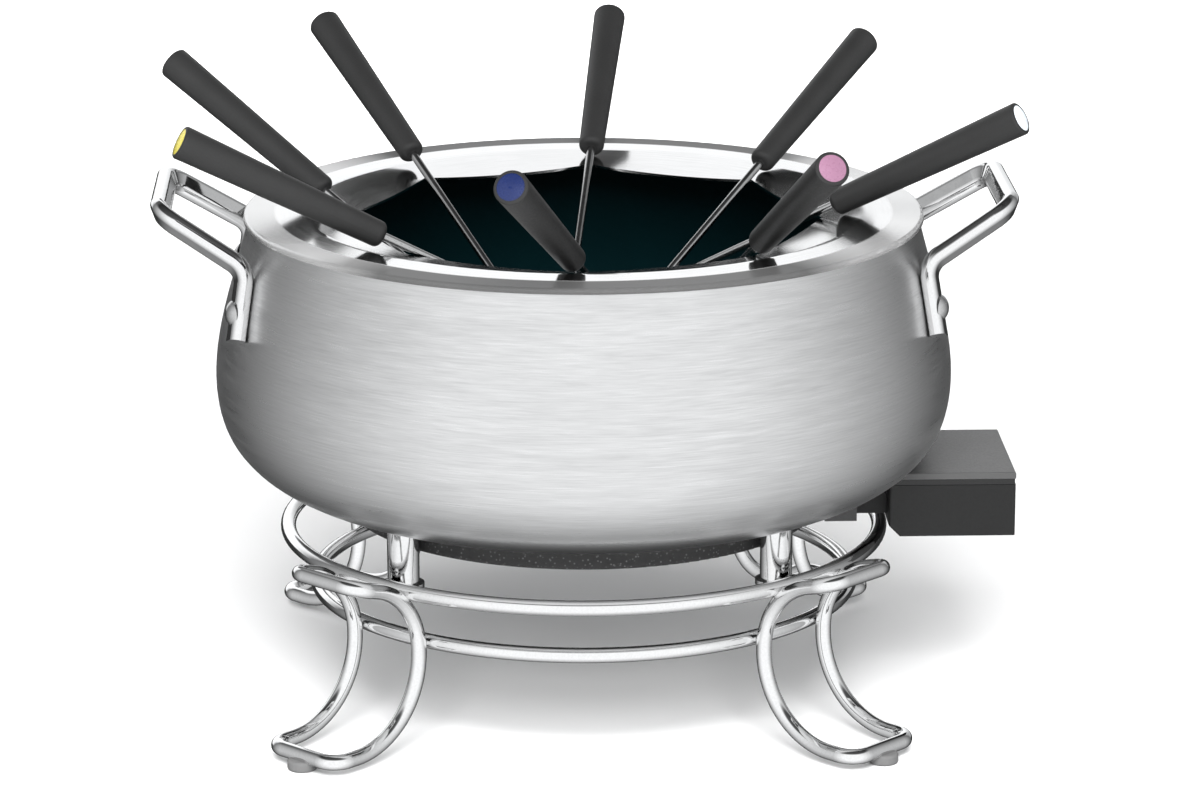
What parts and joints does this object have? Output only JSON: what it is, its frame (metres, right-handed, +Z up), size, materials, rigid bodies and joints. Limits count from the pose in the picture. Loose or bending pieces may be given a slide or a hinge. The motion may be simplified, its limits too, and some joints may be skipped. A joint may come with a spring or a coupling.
{
  "type": "electric fondue pot set",
  "caption": "electric fondue pot on a chrome wire stand, with a lift-off fork ring, colour-coded forks and a plug-in control probe",
  "frame": {"origin": "on the table under the axis of the pot, which is within about 2 mm of the middle of the bounding box", "axes": "+Z up along the pot's axis; +X towards the control probe; legs on the diagonals"},
  "size_m": [0.2713, 0.2789, 0.1976],
  "materials": {
    "brushed_stainless": "brushed, fine horizontal grain",
    "nonstick": "black nonstick coating on cast aluminium",
    "cast_base": "dark speckled cast base",
    "element_steel": "dull drawn tube",
    "pin_brass": "plain",
    "guard_steel": "pressed sheet",
    "handle_chrome": "polished plated casting",
    "rivet_steel": "satin dome",
    "wire_chrome": "polished plated wire",
    "pad_rubber": "grey rubber",
    "post_chrome": "polished",
    "screw_steel": "plain",
    "ring_steel": "satin to polished",
    "grip_plastic": "charcoal, fine texture",
    "fork_steel": "drawn rod",
    "box_plastic": "dark moulded",
    "cover_plastic": "dark grey moulded",
    "seam_gloss": "glossy black",
    "dial_plastic": "black moulded",
    "board_tan": "moulded phenolic",
    "lens_red": "translucent",
    "cap_yellow": "plain",
    "cap_blue": "plain",
    "cap_pink": "plain",
    "cap_white": "plain",
    "cap_red": "plain",
    "cap_green": "plain",
    "cap_orange": "plain",
    "cap_purple": "plain"
  },
  "bodies": {
    "pot_and_stand": {"pot_body": "brushed_stainless", "inner_liner": "nonstick", "heating_base": "cast_base", "heating_element": "element_steel", "terminal_pins": "pin_brass", "socket_guard": "guard_steel", "left_handle": "handle_chrome", "left_handle_rivets": "rivet_steel", "right_handle": "handle_chrome", "right_handle_rivets": "rivet_steel", "stand_upper_ring": "wire_chrome", "stand_lower_ring": "wire_chrome", "stand_leg_1": "wire_chrome", "stand_leg_2": "wire_chrome", "stand_leg_3": "wire_chrome", "stand_leg_4": "wire_chrome", "foot_pads": "pad_rubber", "post_tabs": "wire_chrome", "posts": "post_chrome", "post_screws": "screw_steel"},
    "fork_ring": {"fork_ring": "ring_steel"},
    "fork_1": {"fork_1_handle": "grip_plastic", "fork_1_cap": "cap_white", "fork_1_shaft": "fork_steel"},
    "fork_2": {"fork_2_handle": "grip_plastic", "fork_2_cap": "cap_red", "fork_2_shaft": "fork_steel"},
    "fork_3": {"fork_3_handle": "grip_plastic", "fork_3_cap": "cap_green", "fork_3_shaft": "fork_steel"},
    "fork_4": {"fork_4_handle": "grip_plastic", "fork_4_cap": "cap_orange", "fork_4_shaft": "fork_steel"},
    "fork_5": {"fork_5_handle": "grip_plastic", "fork_5_cap": "cap_purple", "fork_5_shaft": "fork_steel"},
    "fork_6": {"fork_6_handle": "grip_plastic", "fork_6_cap": "cap_yellow", "fork_6_shaft": "fork_steel"},
    "fork_7": {"fork_7_handle": "grip_plastic", "fork_7_cap": "cap_blue", "fork_7_shaft": "fork_steel"},
    "fork_8": {"fork_8_handle": "grip_plastic", "fork_8_cap": "cap_pink", "fork_8_shaft": "fork_steel"},
    "control_probe": {"control_housing": "box_plastic", "housing_screws": "screw_steel", "control_seam_strip": "seam_gloss", "control_cover": "cover_plastic", "contact_sleeves": "pin_brass", "sensor_probe": "fork_steel", "thermostat_block": "board_tan", "terminal_board": "board_tan", "indicator_lens": "lens_red", "supply_inlet": "seam_gloss", "supply_pins": "pin_brass"},
    "dial": {"temperature_dial": "dial_plastic", "dial_spindle": "pin_brass"}
  },
  "joints": [
    {"name": "ring_lift", "type": "slide", "parent": "pot_and_stand", "child": "fork_ring", "axis": [0, 0, 1], "range_m": [0, 0.12]},
    {"name": "fork_1_pull", "type": "slide", "parent": "fork_ring", "child": "fork_1", "axis": [0.7908, -0.3891, 0.4726], "range_m": [0, 0.175]},
    {"name": "fork_2_pull", "type": "slide", "parent": "fork_ring", "child": "fork_2", "axis": [0.5476, 0.7059, 0.4493], "range_m": [0, 0.175]},
    {"name": "fork_3_pull", "type": "slide", "parent": "fork_ring", "child": "fork_3", "axis": [0.1221, 0.8686, 0.4802], "range_m": [0, 0.175]},
    {"name": "fork_4_pull", "type": "slide", "parent": "fork_ring", "child": "fork_4", "axis": [-0.4272, 0.7612, 0.4879], "range_m": [0, 0.175]},
    {"name": "fork_5_pull", "type": "slide", "parent": "fork_ring", "child": "fork_5", "axis": [-0.7054, 0.4994, 0.503], "range_m": [0, 0.175]},
    {"name": "fork_6_pull", "type": "slide", "parent": "fork_ring", "child": "fork_6", "axis": [-0.8716, -0.16, 0.4633], "range_m": [0, 0.175]},
    {"name": "fork_7_pull", "type": "slide", "parent": "fork_ring", "child": "fork_7", "axis": [-0.2862, -0.8127, 0.5075], "range_m": [0, 0.175]},
    {"name": "fork_8_pull", "type": "slide", "parent": "fork_ring", "child": "fork_8", "axis": [0.2428, -0.8249, 0.5105], "range_m": [0, 0.175]},
    {"name": "probe_pull", "type": "slide", "parent": "pot_and_stand", "child": "control_probe", "axis": [1, 0, 0], "range_m": [0, 0.08]},
    {"name": "dial_turn", "type": "hinge", "parent": "control_probe", "child": "dial", "pos_m": [0.1355, 0, 0.0622], "axis": [1, 0, 0], "range_deg": [0, 270]}
  ]
}
